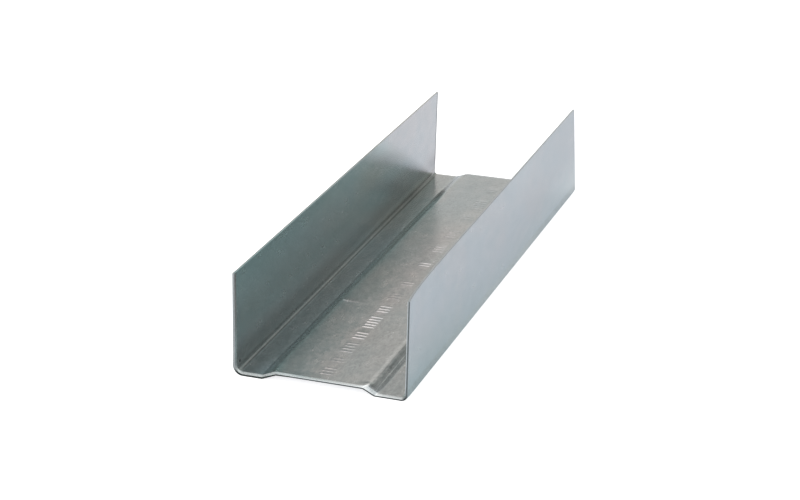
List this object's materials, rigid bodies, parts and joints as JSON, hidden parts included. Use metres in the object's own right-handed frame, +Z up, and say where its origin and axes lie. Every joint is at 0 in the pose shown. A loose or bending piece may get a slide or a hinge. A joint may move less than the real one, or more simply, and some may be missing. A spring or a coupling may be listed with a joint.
{
  "type": "drywall track",
  "caption": "Cut length of roll-formed galvanised steel U-channel track with a raised web between side pads and two plain flanges.",
  "frame": {"origin": "midway along the track, on its centre line, in the plane that the web's side pads rest on", "axes": "+Y along the track from the near cut end to the far one, +X across the web, +Z up between the flanges"},
  "size_m": [0.0487, 0.16, 0.0285],
  "materials": {
    "zinc_coated_steel": "hot-dip galvanised sheet, fine even spangle, semi-matt, sheared edges"
  },
  "bodies": {
    "root": {"drywall_track": "zinc_coated_steel"}
  },
  "joints": []
}
